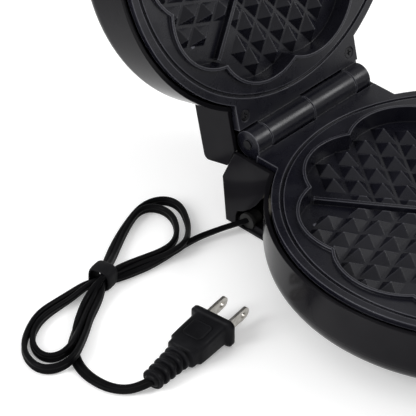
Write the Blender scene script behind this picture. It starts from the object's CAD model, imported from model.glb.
# Looks of the waffle maker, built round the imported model. Metres, same frame as the CAD.
import bpy
import bmesh
import math
import numpy as np
from mathutils import Matrix, Vector


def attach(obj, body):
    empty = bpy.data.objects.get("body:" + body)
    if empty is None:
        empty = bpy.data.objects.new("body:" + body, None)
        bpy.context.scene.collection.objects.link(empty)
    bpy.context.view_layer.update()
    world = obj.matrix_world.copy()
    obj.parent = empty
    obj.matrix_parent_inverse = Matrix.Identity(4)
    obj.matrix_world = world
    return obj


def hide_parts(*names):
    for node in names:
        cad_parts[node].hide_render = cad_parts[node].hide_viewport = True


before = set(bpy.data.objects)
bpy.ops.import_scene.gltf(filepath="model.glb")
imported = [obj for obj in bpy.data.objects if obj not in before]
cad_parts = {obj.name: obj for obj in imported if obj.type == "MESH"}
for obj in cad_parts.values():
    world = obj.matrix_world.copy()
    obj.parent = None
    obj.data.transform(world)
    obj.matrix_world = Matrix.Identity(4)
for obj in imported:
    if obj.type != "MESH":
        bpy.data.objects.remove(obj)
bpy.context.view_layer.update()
MM = 0.001

# ---------- Table, light and camera ----------
# A pale table that runs out past the view and a white room round it. One soft lamp stands at the right,
# where the hinge barrels and the pyramids catch it, and one at the left for the rim of the shells.
table = bpy.data.meshes.new("table_top")
table_half = 40
table.from_pydata([(x * table_half, y * table_half, 0) for x, y in ((-1, -1), (1, -1), (1, 1), (-1, 1))], [],
                  [(0, 1, 2, 3)])
table_top = bpy.data.objects.new("table_top", table)
bpy.context.collection.objects.link(table_top)
paper = bpy.data.materials.new("table_paper")
paper.use_nodes = True
paper_shader = paper.node_tree.nodes["Principled BSDF"]
paper_shader.inputs["Base Color"].default_value = (0.93, 0.93, 0.93, 1)
paper_shader.inputs["Roughness"].default_value = 0.9
paper_shader.inputs["Specular IOR Level"].default_value = 0.1
paper_shader.inputs["Emission Color"].default_value = (1, 1, 1, 1)
paper_shader.inputs["Emission Strength"].default_value = 0.22
table.materials.append(paper)

room = bpy.data.worlds.new("room")
bpy.context.scene.world = room
room.use_nodes = True
room.node_tree.nodes["Background"].inputs["Color"].default_value = (1, 1, 1, 1)
room.node_tree.nodes["Background"].inputs["Strength"].default_value = 0.8


def soft_lamp(name, at, aim, size, power):
    lamp = bpy.data.lights.new(name, "AREA")
    lamp.shape, lamp.size, lamp.size_y = "RECTANGLE", size[0], size[1]
    lamp.energy = power
    holder = bpy.data.objects.new(name, lamp)
    holder.location = at
    holder.rotation_euler = (Vector(aim) - Vector(at)).to_track_quat("-Z", "Y").to_euler()
    bpy.context.collection.objects.link(holder)


soft_lamp("lamp_right", (1.12, -0.9, 1.25), (0, 0.05, 0.05), (0.7, 0.7), 15)
soft_lamp("lamp_left", (-1.6, 0.5, 0.9), (0, 0.05, 0.1), (0.7, 1.2), 20)

view = bpy.data.cameras.new("view")
view.sensor_width, view.lens = 36, 238.59
view.clip_start, view.clip_end = 0.05, 60
camera = bpy.data.objects.new("view", view)
az, el, roll = math.radians(-48.20), math.radians(37.42), math.radians(1.91)
aimed_at, away = Vector((-0.09257, 0.08944, 0.0475)), 1.32609
back = Vector((math.sin(az) * math.cos(el), -math.cos(az) * math.cos(el), math.sin(el)))
right = back.cross(Vector((0, 0, -1))).normalized()
up = back.cross(right)
right, up = right * math.cos(roll) + up * math.sin(roll), up * math.cos(roll) - right * math.sin(roll)
turned = Matrix((right, up, back)).transposed().to_4x4()
camera.matrix_world = Matrix.Translation(aimed_at + back * away) @ turned
bpy.context.collection.objects.link(camera)
bpy.context.scene.camera = camera
bpy.context.scene.view_settings.view_transform = "Standard"


# ---------- Flex ----------
# Flat twin mains flex, 5.6 by 2.8 mm: two stranded cores side by side in one black PVC sheath with a
# groove between them. It leaves the gland, is wound twice through a figure of eight, and ends in the plug.
class Field:
    """A shader value or colour; arithmetic on it adds the nodes."""

    def __init__(self, tree, socket):
        self.tree, self.socket = tree, socket

    def node(self, kind, settings=None, **inputs):
        made = self.tree.nodes.new(kind)
        for key, value in (settings or {}).items():
            if key == "stops":
                ramp = made.color_ramp.elements
                while len(ramp) < len(value):
                    ramp.new(0.5)
                for stop, (place, colour) in zip(ramp, value):
                    stop.position, stop.color = place, (*colour, 1)
            else:
                setattr(made, key, value)
        for key, value in inputs.items():
            socket = made.inputs[key.replace("_", " ")]
            if isinstance(value, Field):
                self.tree.links.new(value.socket, socket)
            else:
                socket.default_value = value
        return made

    def math(self, how, *others):
        made = self.tree.nodes.new("ShaderNodeMath")
        made.operation = how
        for socket, value in zip(made.inputs, (self, *others)):
            if isinstance(value, Field):
                self.tree.links.new(value.socket, socket)
            else:
                socket.default_value = value
        return Field(self.tree, made.outputs[0])

    def __add__(self, other): return self.math("ADD", other)
    def __mul__(self, other): return self.math("MULTIPLY", other)
    def __sub__(self, other): return self.math("SUBTRACT", other)
    def __radd__(self, other): return self.math("ADD", other)
    def __rmul__(self, other): return self.math("MULTIPLY", other)
    def __rsub__(self, other): return (self * -1.0) + other

    def step(self, low, high):
        made = self.node("ShaderNodeMapRange", {"interpolation_type": "SMOOTHSTEP", "clamp": True},
                         Value=self, From_Min=low, From_Max=high)
        return Field(self.tree, made.outputs["Result"])


class Finish:
    """One procedural material: plain numbers go straight on the shader, fields are linked to it."""

    def __init__(self, name, **plain):
        self.material = bpy.data.materials.new(name)
        self.material.use_nodes = True
        self.tree = self.material.node_tree
        self.shader = self.tree.nodes["Principled BSDF"]
        for key, value in plain.items():
            self.shader.inputs[key.replace("_", " ")].default_value = value
        place = self.tree.nodes.new("ShaderNodeTexCoord")
        self.at = Field(self.tree, place.outputs["Object"])

    def noise(self, scale, detail=3.0, rough=0.5, where=None):
        made = self.at.node("ShaderNodeTexNoise", {"noise_dimensions": "3D"}, Vector=where or self.at,
                            Scale=scale, Detail=detail, Roughness=rough)
        return Field(self.tree, made.outputs["Fac"])

    def cells(self, scale):
        made = self.at.node("ShaderNodeTexVoronoi", {"feature": "F1"}, Vector=self.at, Scale=scale)
        return Field(self.tree, made.outputs["Distance"])

    def stretched(self, x, y, z):
        made = self.at.node("ShaderNodeMapping", {"vector_type": "POINT"}, Vector=self.at, Scale=(x, y, z))
        return Field(self.tree, made.outputs["Vector"])

    def edges(self, radius=0.0006):
        made = self.tree.nodes.new("ShaderNodeBevel")
        made.samples = 4
        made.inputs["Radius"].default_value = radius
        return Field(self.tree, made.outputs["Normal"])

    def outer_edges(self, reach):
        """1 on outward edges and points within reach of the edge, 0 on faces and in hollows."""
        made = self.tree.nodes.new("ShaderNodeAmbientOcclusion")
        made.samples, made.inside, made.only_local = 8, True, True
        made.inputs["Distance"].default_value = reach
        return 1.0 - Field(self.tree, made.outputs["AO"])

    def colour(self, dark, light, mask):
        made = self.tree.nodes.new("ShaderNodeMix")
        made.data_type = "RGBA"
        made.inputs[6].default_value = (*dark, 1)
        made.inputs[7].default_value = (*light, 1)
        self.tree.links.new(mask.socket, made.inputs[0])
        self.tree.links.new(made.outputs[2], self.shader.inputs["Base Color"])

    def vary(self, socket, low, high, mask):
        self.tree.links.new((mask * (high - low) + low).socket, self.shader.inputs[socket])

    def bump(self, height, depth, strength=1.0, over=None):
        made = self.at.node("ShaderNodeBump", None, Strength=strength, Distance=depth, Height=height)
        if over is not None:
            self.tree.links.new(over.socket, made.inputs["Normal"])
        self.tree.links.new(made.outputs["Normal"], self.shader.inputs["Normal"])


flex_pvc = Finish("black_flex_pvc", Specular_IOR_Level=0.03)
flex_pvc.colour((0.0022, 0.0022, 0.0026), (0.005, 0.0049, 0.0054), flex_pvc.noise(60, 3).step(0.3, 0.7))
flex_pvc.vary("Roughness", 0.3, 0.45, flex_pvc.noise(140, 4).step(0.3, 0.75))
flex_pvc.bump(flex_pvc.noise(900, 4, 0.6), 0.00006, 0.5)

# x, y, z in mm and the lean of the flat side in degrees, from the gland to the plug
route = [
    (-44, 104, 6, 45), (-50, 106, 6, 45), (-53.5, 107.5, 5.8, 45), (-57, 109.5, 5.2, 45),
    (-64.5, 112.5, 4.2, 50), (-70, 114.5, 3.8, 55), (-76.5, 115.4, 3.4, 60), (-83, 116.2, 3, 62),
    (-91.5, 116, 2.7, 62), (-103.5, 116.5, 2.7, 62), (-113, 118.5, 2.7, 62), (-121, 120.5, 2.7, 62),
    (-126, 122.5, 2.8, 62), (-130.5, 126, 3.2, 62), (-136, 129, 3, 62), (-146.5, 129.5, 2.7, 62),
    (-153.5, 129.5, 2.7, 65), (-160, 129.5, 2.7, 70), (-167.5, 129, 2.8, 80), (-174.5, 126.5, 2.8, 90),
    (-181.5, 123, 2.8, 90), (-187, 119.5, 2.8, 90), (-191.5, 115.5, 2.8, 90), (-195, 110, 2.8, 90),
    (-196.5, 104, 2.8, 90), (-196.5, 99, 2.8, 90), (-193.5, 95.5, 2.8, 90), (-189.5, 93, 3.4, 90),
    (-186, 91, 5.2, 90), (-180.5, 91.5, 6.2, 90), (-172.5, 96, 5.4, 90), (-161.5, 103, 3.4, 90),
    (-153, 109, 2.8, 90), (-145, 113, 2.8, 90), (-138.5, 116.5, 3.2, 90), (-134, 119, 5, 90),
    (-130, 123.5, 7, 90), (-122, 130, 5.5, 90), (-110.5, 137.5, 3.2, 90), (-102, 142, 2.8, 90),
    (-93, 146, 2.8, 92), (-85.5, 149, 2.8, 96), (-77, 152, 2.8, 104), (-71, 153.2, 2.8, 110),
    (-65, 152.2, 2.8, 110), (-61, 150, 2.8, 100), (-58.6, 147, 2.8, 92), (-57.6, 142.5, 2.8, 90),
    (-59, 137, 2.8, 90), (-63, 130.5, 2.8, 90), (-67.5, 124.5, 2.9, 90), (-74.5, 118.5, 4.2, 88),
    (-82, 113.5, 6.2, 80), (-88.5, 113, 6.4, 70), (-94, 115, 4.6, 62), (-101.5, 118.5, 3.6, 62),
    (-110.5, 121, 3.4, 62), (-119, 122, 3.6, 62), (-126, 122.5, 5.2, 62), (-133, 124, 6.4, 62),
    (-138.5, 126.5, 4, 62), (-148.5, 126, 2.8, 62), (-156.5, 126, 2.7, 65), (-163.5, 126, 2.7, 72),
    (-170.5, 125, 2.8, 82), (-177, 122.5, 2.8, 90), (-182.5, 119, 2.8, 90), (-186.5, 114.5, 2.8, 90),
    (-189, 109.5, 2.8, 90), (-189.5, 104, 2.8, 90), (-187.5, 100.5, 2.9, 90), (-184, 98, 3.8, 90),
    (-180.5, 97, 5.6, 90), (-175, 98.5, 6.2, 90), (-167, 103.5, 4.6, 90), (-159, 108.5, 3.2, 90),
    (-151.5, 113, 2.8, 90), (-143.5, 117, 2.8, 90), (-137.5, 120, 4, 90), (-135, 119.5, 9.4, 90),
    (-125, 126, 7, 90), (-112.5, 133.5, 3.4, 90), (-104, 138.5, 2.8, 90), (-96, 143, 2.8, 90),
    (-89, 146.5, 2.8, 92), (-82, 149.5, 2.8, 98), (-75.5, 151.5, 3, 106), (-70.5, 150, 3.4, 108),
    (-67, 146.5, 3, 100), (-66, 142, 2.8, 92), (-67, 136, 2.8, 90), (-71, 129.5, 2.8, 90),
    (-76.5, 124, 2.8, 88), (-82.5, 120.5, 3.2, 80), (-88.5, 119, 4, 70), (-94.5, 119.5, 4.4, 62),
    (-101, 121, 4.6, 62), (-108.5, 123, 4.6, 62), (-117, 124.5, 5, 62), (-126, 122, 8, 62),
    (-133.5, 120.5, 9.6, 66), (-138, 121.5, 6, 78), (-144, 120.5, 3, 88), (-152.5, 116, 2.8, 90),
    (-159.5, 111.5, 2.8, 90), (-165.5, 107.5, 2.6, 80), (-171.5, 103, 2.6, 50), (-175.5, 98.5, 2.0, 15),
    (-178.6, 93.5, 1.7, 5), (-181.2, 88, 1.7, 5), (-182.9, 82, 1.7, 5), (-183, 76, 1.7, 5),
    (-182.6, 70.5, 1.7, 5), (-181, 65.8, 1.7, 4), (-178, 61.2, 1.8, 2), (-174.5, 58, 2.6, 0),
    (-171, 55.5, 4.4, 0), (-167.5, 54, 5.6, 0)]


def smooth_line(points, spacing, rounds=6):
    """The points joined by short even steps, then relaxed so that the bends are round."""
    line = np.array(points, float)
    for _ in range(3):
        far = np.r_[0, np.cumsum(np.linalg.norm(np.diff(line[:, :3], axis=0), axis=1))]
        even = np.linspace(0, far[-1], max(8, int(far[-1] / spacing)) + 1)
        line = np.stack([np.interp(even, far, line[:, k]) for k in range(line.shape[1])], 1)
        for _ in range(rounds):
            line[1:-1] = 0.25 * line[:-2] + 0.5 * line[1:-1] + 0.25 * line[2:]
    return line


def mesh_piece(name, verts, faces, material, smooth=True):
    mesh = bpy.data.meshes.new(name)
    mesh.from_pydata([tuple(v) for v in verts], [], [tuple(f) for f in faces])
    mesh.materials.append(material)
    made = bpy.data.objects.new(name, mesh)
    bpy.context.collection.objects.link(made)
    if smooth:
        mesh.shade_smooth()
    return made


ring_spacing = 1.3
line = smooth_line(route, ring_spacing, 5)
core, half_groove = 1.4, 0.85  # radius of one core's sheath, half thickness at the groove
profile = [(core + core * math.cos(t), core * math.sin(t)) for t in np.radians(np.arange(-120, 121, 30))]
profile += [(0.0, half_groove)] + [(-x, y) for x, y in reversed(profile)] + [(0.0, -half_groove)]
flex_verts, flex_faces, n = [], [], len(profile)
tangent = np.gradient(line[:, :3], axis=0)
tangent /= np.linalg.norm(tangent, axis=1)[:, None]
for (x, y, z, lean), t in zip(line, tangent):
    flat = np.array([-t[1], t[0], 0])
    flat /= np.linalg.norm(flat)
    tall = np.cross(t, flat)
    c, s = math.cos(math.radians(lean)), math.sin(math.radians(lean))
    wide, thin = c * flat + s * tall, c * tall - s * flat
    flex_verts += [(np.array([x, y, z]) + a * wide + b * thin) * MM for a, b in profile]
rings = len(line)
for i in range(rings - 1):
    flex_faces += [(i * n + k, i * n + (k + 1) % n, i * n + n + (k + 1) % n, i * n + n + k)
                   for k in range(n)]
flex_faces += [tuple(reversed(range(n))), tuple((rings - 1) * n + k for k in range(n))]
flex = mesh_piece("mains_flex", flex_verts, flex_faces, flex_pvc.material)
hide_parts("cord_lead", "cord_hank", "cord_tail")
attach(flex, "base")

# ---------- Strap round the hank ----------
# Soft black plastic strap, 9 mm wide and 1.4 mm thick with rounded edges, pulled tight round the passes
# of flex that cross at the waist of the figure of eight.
strap_pvc = Finish("strap_plastic", Specular_IOR_Level=0.04)
strap_pvc.colour((0.004, 0.004, 0.0045), (0.009, 0.009, 0.010), strap_pvc.noise(90, 3).step(0.35, 0.7))
strap_pvc.vary("Roughness", 0.4, 0.62, strap_pvc.noise(220, 3).step(0.3, 0.7))
strap_pvc.bump(strap_pvc.noise(700, 4), 0.0001, 0.5)
strap_at, strap_turn = Vector((-129, 126, 0)), 12
strap_place = Matrix.Translation(strap_at * MM) @ Matrix.Rotation(math.radians(strap_turn), 4, "Z")
strap_middle, strap_half = -1.5, 4.9  # sideways place and half width of the bundle inside
strap_low, strap_high = 1.45, 11.2
squareness = 0.62


def loop_verts(across, proud, steps):
    """One rounded loop round the bundle; across is its place over the strap's width."""
    points = []
    for k in range(steps):
        t = 2 * math.pi * k / steps
        c, s = math.cos(t), math.sin(t)
        y = strap_middle + math.copysign(abs(c) ** squareness, c) * (strap_half + proud)
        half_tall = (strap_high - strap_low) / 2 + proud
        z = (strap_high + strap_low) / 2 + math.copysign(abs(s) ** squareness, s) * half_tall
        points.append(strap_place @ (Vector((across, y, z)) * MM))
    return points


# rounded cross-section of the strap: place over its width, and height over the bundle
edge = [(-4.4, 0.35), (-4.1, 0.95), (-3.2, 1.25), (-1.2, 1.4), (1.2, 1.4), (3.2, 1.25), (4.1, 0.95),
        (4.4, 0.35), (3.9, 0.0), (-3.9, 0.0)]
steps, sides = 72, len(edge)
strap_verts = [v for x, p in edge for v in loop_verts(x, p, steps)]
strap_faces = [(i * steps + k, i * steps + (k + 1) % steps, (i + 1) % sides * steps + (k + 1) % steps,
                (i + 1) % sides * steps + k) for i in range(sides) for k in range(steps)]
strap = mesh_piece("hank_strap", strap_verts, strap_faces, strap_pvc.material)
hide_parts("cord_tie")
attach(strap, "base")

# ---------- Plug ----------
# Two-pin plug moulded on to the flex in black PVC: stepped body, raised front flange, ribbed strain
# relief behind. The blades are bright nickel-plated brass, cast in place, with a hole near each tip.
plug_pvc = Finish("plug_moulding", Specular_IOR_Level=0.06)
plug_pvc.colour((0.004, 0.004, 0.0048), (0.009, 0.009, 0.0105), plug_pvc.noise(70, 3).step(0.3, 0.75))
plug_pvc.vary("Roughness", 0.34, 0.5, plug_pvc.noise(160, 4).step(0.3, 0.7))
plug_pvc.bump(plug_pvc.noise(1500, 4, 0.6), 0.00004, 0.6)
plug_rear, plug_turn, plug_pitch = Vector((-168, 53.9, 5.8)), 6.3, 2.4
plug_place = (Matrix.Translation(plug_rear * MM) @ Matrix.Rotation(math.radians(plug_turn), 4, "Z")
              @ Matrix.Rotation(math.radians(-plug_pitch), 4, "Y"))


def rounded_section(x, half_w, half_h, r, per_corner=6):
    """Ring of points round a rounded rectangle that stands across the plug at x."""
    ring = []
    for cy, cz, start in ((1, 1, 0), (-1, 1, 90), (-1, -1, 180), (1, -1, 270)):
        for k in range(per_corner + 1):
            a = math.radians(start + 90 * k / per_corner)
            ring.append(Vector((x, cy * (half_w - r) + r * math.cos(a), cz * (half_h - r) + r * math.sin(a))))
    return ring


def loft(rings):
    """Skin through the rings, with both ends closed."""
    n = len(rings[0])
    verts = [v for ring in rings for v in ring]
    faces = [(i * n + n + k, i * n + n + (k + 1) % n, i * n + (k + 1) % n, i * n + k)
             for i in range(len(rings) - 1) for k in range(n)]
    last = (len(rings) - 1) * n
    return verts, faces + [tuple(range(n)), tuple(reversed(range(last, last + n)))]


def outward(made):
    """Weld the mesh and turn its faces outward."""
    mesh = bmesh.new()
    mesh.from_mesh(made.data)
    bmesh.ops.remove_doubles(mesh, verts=mesh.verts, dist=1e-7)
    bmesh.ops.recalc_face_normals(mesh, faces=mesh.faces)
    mesh.to_mesh(made.data)
    mesh.free()


# place along the plug, half width, half height and corner radius of each section
sections = [(-0.5, 3.0, 2.3, 2.1), (0.2, 3.7, 3.1, 2.9), (6, 3.9, 3.4, 3.1), (22.4, 4.6, 4.3, 3.7),
            (22.6, 7.0, 5.0, 3.2), (23.2, 7.9, 5.6, 3.2), (26.4, 8.0, 5.7, 3.0), (26.9, 8.6, 5.75, 2.8),
            (27.5, 9.2, 5.8, 2.6), (33, 9.35, 5.9, 2.4), (42, 9.4, 6.15, 2.4), (45.8, 9.5, 6.25, 2.4),
            (46.4, 9.8, 6.4, 2.5), (46.8, 11.7, 7.0, 3), (47.3, 12.2, 7.4, 3.2), (49.3, 12.2, 7.4, 3.2),
            (49.75, 11.8, 7.0, 3.0), (49.9, 11.2, 6.4, 2.8)]
body_verts, body_faces = loft([rounded_section(*s) for s in sections])
plug_shell = mesh_piece("plug_moulding", [plug_place @ (v * MM) for v in body_verts], body_faces,
                        plug_pvc.material)
outward(plug_shell)


panel_middle, panel_half_w, panel_half_l, panel_corner, top_slope = 36.3, 5.6, 5.8, 2.2, 0.03


def raised_panel(inset, z):
    """Ring of a rounded rectangle on the top of the plug, at height z, drawn in by inset."""
    ring = rounded_section(0, panel_half_w - inset, panel_half_l - inset, panel_corner - min(inset, 1.2))
    return [Vector((panel_middle + v.z, v.y, z + top_slope * v.z)) for v in ring]


panel_verts, panel_faces = loft([raised_panel(0, 5.5), raised_panel(0, 6.25), raised_panel(0.25, 6.5),
                                 raised_panel(0.8, 6.5), raised_panel(1.05, 6.3), raised_panel(1.2, 6.3)])
plug_panel = mesh_piece("plug_panel", [plug_place @ (v * MM) for v in panel_verts], panel_faces,
                        plug_pvc.material)
outward(plug_panel)
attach(plug_panel, "base")
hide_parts("plug_body")
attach(plug_shell, "base")


class NodeTree:
    """A Geometry Nodes tree written as calls: each returns the made node."""

    def __init__(self, name, **sizes):
        self.tree = bpy.data.node_groups.new(name, "GeometryNodeTree")
        self.tree.interface.new_socket("Geometry", in_out="OUTPUT", socket_type="NodeSocketGeometry")
        self.keys = {}
        for key, value in sizes.items():
            kind = "NodeSocketInt" if isinstance(value, int) else "NodeSocketFloat"
            self.keys[key] = self.tree.interface.new_socket(key, in_out="INPUT", socket_type=kind).identifier
        self.inputs = self.tree.nodes.new("NodeGroupInput").outputs
        self.values = sizes

    def make(self, kind, settings=None, **links):
        made = self.tree.nodes.new(kind)
        for key, value in (settings or {}).items():
            setattr(made, key, value)
        for key, value in links.items():
            numbered = key[0] == "i" and key[1:].isdigit()
            socket = made.inputs[int(key[1:]) if numbered else key.replace("_", " ")]
            if isinstance(value, bpy.types.NodeSocket):
                self.tree.links.new(value, socket)
            else:
                socket.default_value = value
        return made

    def piece(self, name, geometry, material, place):
        real = self.make("GeometryNodeRealizeInstances", None, i0=geometry)
        dressed = self.make("GeometryNodeSetMaterial", None, i0=real.outputs[0], Material=material)
        end = self.tree.nodes.new("NodeGroupOutput")
        self.tree.links.new(dressed.outputs[0], end.inputs[0])
        holder = bpy.data.objects.new(name + "_pattern", bpy.data.meshes.new(name + "_pattern"))
        bpy.context.collection.objects.link(holder)
        pattern = holder.modifiers.new("pattern", "NODES")
        pattern.node_group = self.tree
        for key, value in self.values.items():
            pattern[self.keys[key]] = value
        seen = holder.evaluated_get(bpy.context.evaluated_depsgraph_get())
        mesh = bpy.data.meshes.new_from_object(seen)
        mesh.name = name
        holder.modifiers.remove(pattern)
        bpy.data.objects.remove(holder)
        mesh.transform(place)
        made = bpy.data.objects.new(name, mesh)
        bpy.context.collection.objects.link(made)
        outward(made)
        mesh.shade_smooth()
        return made


rib_width, rib_fillet, rib_flat, first_rib = 1.9 * MM, 0.55 * MM, 0.86, 1.7 * MM
ribs = NodeTree("strain_relief_ribs", Count=5, Spacing=4.5 * MM, Radius=4.45 * MM, Grow=0.055,
                Thickness=2.5 * MM)
line_of = ribs.make("ShaderNodeCombineXYZ", None, X=ribs.inputs["Spacing"])
places = ribs.make("GeometryNodeMeshLine", None, Count=ribs.inputs["Count"], Offset=line_of.outputs[0])
hoop = ribs.make("GeometryNodeCurvePrimitiveCircle", None, Resolution=48, Radius=ribs.inputs["Radius"])
lain = ribs.make("GeometryNodeTransform", None, Geometry=hoop.outputs[0], Rotation=(0, math.pi / 2, 0),
                 Scale=(rib_flat, 1, 1))
bar = ribs.make("GeometryNodeCurvePrimitiveQuadrilateral", None, Width=rib_width,
                Height=ribs.inputs["Thickness"])
soft = ribs.make("GeometryNodeFilletCurve", {"mode": "POLY"}, Curve=bar.outputs[0], Radius=rib_fillet,
                 Count=4)
rib = ribs.make("GeometryNodeCurveToMesh", None, Curve=lain.outputs[0], Profile_Curve=soft.outputs[0])
number = ribs.make("GeometryNodeInputIndex")
larger = ribs.make("ShaderNodeMath", {"operation": "MULTIPLY_ADD"}, i0=number.outputs[0],
                   i1=ribs.inputs["Grow"], i2=1.0)
wider = ribs.make("ShaderNodeCombineXYZ", None, X=1.0, Y=larger.outputs[0], Z=larger.outputs[0])
row = ribs.make("GeometryNodeInstanceOnPoints", None, Points=places.outputs[0], Instance=rib.outputs[0],
                Scale=wider.outputs[0])
plug_ribs = ribs.piece("plug_ribs", row.outputs[0], plug_pvc.material,
                       plug_place @ Matrix.Translation((first_rib, 0, 0)))
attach(plug_ribs, "base")

nickel = Finish("blade_nickel", Metallic=1.0, Specular_IOR_Level=0.5)
nickel.colour((0.42, 0.40, 0.36), (0.62, 0.60, 0.56), nickel.noise(300, 4).step(0.3, 0.7))
nickel.vary("Roughness", 0.24, 0.42,
            nickel.noise(0.9, 4, 0.6, nickel.stretched(300, 2500, 2500)).step(0.2, 0.8))
nickel.bump(nickel.noise(1.0, 3, 0.6, nickel.stretched(200, 3000, 3000)), 0.00002, 0.4, nickel.edges(0.0003))

[tuple(v * MM for v in p[:3]) for p in line]


def dress(finish, *nodes):
    """Give carried-over CAD nodes this finish."""
    for name in nodes:
        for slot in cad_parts[name].material_slots:
            slot.material = finish.material


dress(nickel, "plug_blades")

# ---------- Shells, dial, handles and latch ----------
# Injection-moulded phenolic and ABS, polished black outside: round bowls with hinge housings behind.
# Handles, latch and dial are the same plastic with a finer, duller mould finish.
gloss = Finish("polished_black_plastic", Specular_IOR_Level=0.06, Coat_Roughness=0.08)
gloss.colour((0.005, 0.0048, 0.006), (0.009, 0.0086, 0.010), gloss.noise(25, 3).step(0.3, 0.7))
gloss.vary("Roughness", 0.12, 0.2, gloss.noise(45, 4, 0.6).step(0.25, 0.8))
gloss.vary("Coat Weight", 0.0, 0.04, gloss.noise(30, 3).step(0.2, 0.8))
gloss.bump(gloss.noise(600, 3) * 0.5 + gloss.noise(60, 2) * 0.5, 0.00002, 0.5, gloss.edges(0.0007))
dress(gloss, "base_shell", "lid_shell")

satin = Finish("fine_textured_black_plastic", Specular_IOR_Level=0.12)
satin.colour((0.006, 0.006, 0.0065), (0.014, 0.014, 0.0145), satin.noise(40, 3).step(0.3, 0.7))
satin.vary("Roughness", 0.36, 0.5, satin.noise(120, 4).step(0.3, 0.7))
satin.bump(satin.noise(1400, 4, 0.6), 0.00005, 0.5, satin.edges(0.001))
dress(satin, "base_handle", "lid_handle", "latch", "dial")

rubber = Finish("foot_rubber", Specular_IOR_Level=0.3)
rubber.colour((0.008, 0.008, 0.008), (0.02, 0.02, 0.019), rubber.noise(80, 4).step(0.3, 0.75))
rubber.vary("Roughness", 0.6, 0.8, rubber.noise(200, 3))
rubber.bump(rubber.noise(900, 4), 0.00008, 0.6, rubber.edges(0.0004))
dress(rubber, "foot_ring", "cord_bush")

# ---------- Cooking plates ----------
# Two aluminium castings with hinge knuckles, sprayed with dark non-stick coating; the coat is satin,
# thinner and brighter on the edges, and carries a fine orange-peel from the spray.
coat = Finish("non_stick_coating", Specular_IOR_Level=0.22)
thin_coat = coat.outer_edges(0.0009).step(0.12, 0.75)
clouds = coat.noise(35, 4, 0.6).step(0.3, 0.75)
coat.colour((0.0035, 0.0035, 0.0065), (0.12, 0.12, 0.14), thin_coat * 0.95 + clouds * 0.05)
coat.vary("Roughness", 0.22, 0.36, coat.noise(90, 4, 0.6).step(0.3, 0.75))
coat.bump(coat.noise(1100, 4, 0.65) * 0.7 + coat.noise(250, 3) * 0.3, 0.00006, 0.7, coat.edges(0.0008))
dress(coat, "lower_plate", "upper_plate")

# ---------- Hinge pin and screws ----------
# Zinc-plated steel: one straight pin through all the knuckles, pan-head and countersunk screws.
zinc = Finish("zinc_plated_steel", Metallic=1.0)
zinc.colour((0.30, 0.30, 0.31), (0.55, 0.55, 0.55), zinc.noise(250, 4).step(0.3, 0.75))
zinc.vary("Roughness", 0.28, 0.5, zinc.noise(500, 4).step(0.3, 0.7))
zinc.bump(zinc.noise(1500, 3), 0.00003, 0.4, zinc.edges(0.0003))
dress(zinc, "lower_plate_screws", "base_handle_screws", "lid_handle_screws", "latch_pin", "dial_spindle")
blackened = Finish("blackened_steel", Metallic=0.7, Specular_IOR_Level=0.3)
blackened.colour((0.008, 0.008, 0.009), (0.03, 0.03, 0.033), blackened.noise(250, 4).step(0.3, 0.75))
blackened.vary("Roughness", 0.3, 0.5, blackened.noise(500, 4).step(0.3, 0.7))
blackened.bump(blackened.noise(1500, 3), 0.00003, 0.4, blackened.edges(0.0003))
dress(blackened, "hinge_pin", "upper_plate_screws")

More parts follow.
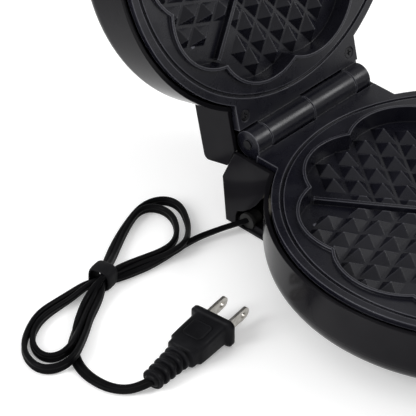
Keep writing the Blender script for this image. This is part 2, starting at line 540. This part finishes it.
# ---------- Heating and wiring ----------
# Sheathed ring heaters under pressed aluminium shields, ceramic-bodied thermostat, fuse and terminals,
# wires in woven glass sleeves; all of it closed inside the two shells.
sheath = Finish("heater_sheath", Metallic=0.9)
sheath.colour((0.10, 0.09, 0.085), (0.25, 0.235, 0.22), sheath.noise(150, 5, 0.6).step(0.3, 0.75))
sheath.vary("Roughness", 0.45, 0.65, sheath.noise(300, 3))
sheath.bump(sheath.noise(900, 4), 0.00005, 0.5)
dress(sheath, "lower_heater", "upper_heater")
sheet = Finish("pressed_aluminium_sheet", Metallic=1.0)
sheet.colour((0.55, 0.56, 0.57), (0.72, 0.73, 0.74), sheet.noise(1.0, 4, 0.6, sheet.stretched(20, 600, 600)))
sheet.vary("Roughness", 0.3, 0.45, sheet.noise(1.0, 3, 0.6, sheet.stretched(30, 900, 900)))
sheet.bump(sheet.noise(1.0, 3, 0.6, sheet.stretched(30, 1500, 1500)), 0.00003, 0.4, sheet.edges(0.0003))
dress(sheet, "lower_shield", "upper_shield")
ceramic = Finish("steatite_ceramic", Specular_IOR_Level=0.5)
ceramic.colour((0.52, 0.48, 0.40), (0.68, 0.64, 0.56), ceramic.noise(200, 4).step(0.3, 0.7))
ceramic.vary("Roughness", 0.4, 0.6, ceramic.noise(250, 3))
ceramic.bump(ceramic.noise(1200, 4), 0.00004, 0.5, ceramic.edges(0.0004))
dress(ceramic, "terminal_block", "thermal_fuse", "thermostat")
sleeve = Finish("glass_sleeve", Specular_IOR_Level=0.3)
weave = sleeve.cells(1400)
sleeve.colour((0.45, 0.41, 0.33), (0.68, 0.64, 0.55), weave.step(0.1, 0.7))
sleeve.vary("Roughness", 0.7, 0.85, sleeve.noise(300, 3))
sleeve.bump(weave, 0.0001, 0.7)
dress(sleeve, "base_wiring", "lid_wiring")

# ---------- Rating plate, lamps and lenses ----------
# A blank foil plate under the base; two neon lamps in the lid behind a red and a green lens.
foil = Finish("rating_foil", Metallic=0.9)
foil.colour((0.40, 0.40, 0.41), (0.52, 0.52, 0.53), foil.noise(1.0, 3, 0.5, foil.stretched(20, 900, 20)))
foil.vary("Roughness", 0.35, 0.5, foil.noise(300, 3))
foil.bump(foil.noise(1500, 3), 0.00002, 0.4, foil.edges(0.0003))
dress(foil, "rating_plate")


def lens_finish(name, deep, light):
    lens = Finish(name, Specular_IOR_Level=0.5, IOR=1.49)
    lens.colour(deep, light, lens.cells(900).step(0.1, 0.8))
    lens.vary("Roughness", 0.1, 0.25, lens.noise(300, 3))
    lens.bump(lens.cells(900), 0.00012, 0.5, lens.edges(0.0005))
    return lens


dress(lens_finish("red_lens", (0.25, 0.012, 0.010), (0.45, 0.03, 0.02)), "power_lens")
dress(lens_finish("green_lens", (0.015, 0.16, 0.03), (0.04, 0.30, 0.06)), "ready_lens")
dress(lens_finish("neon_lamp", (0.40, 0.20, 0.13), (0.62, 0.38, 0.28)), "lamps")
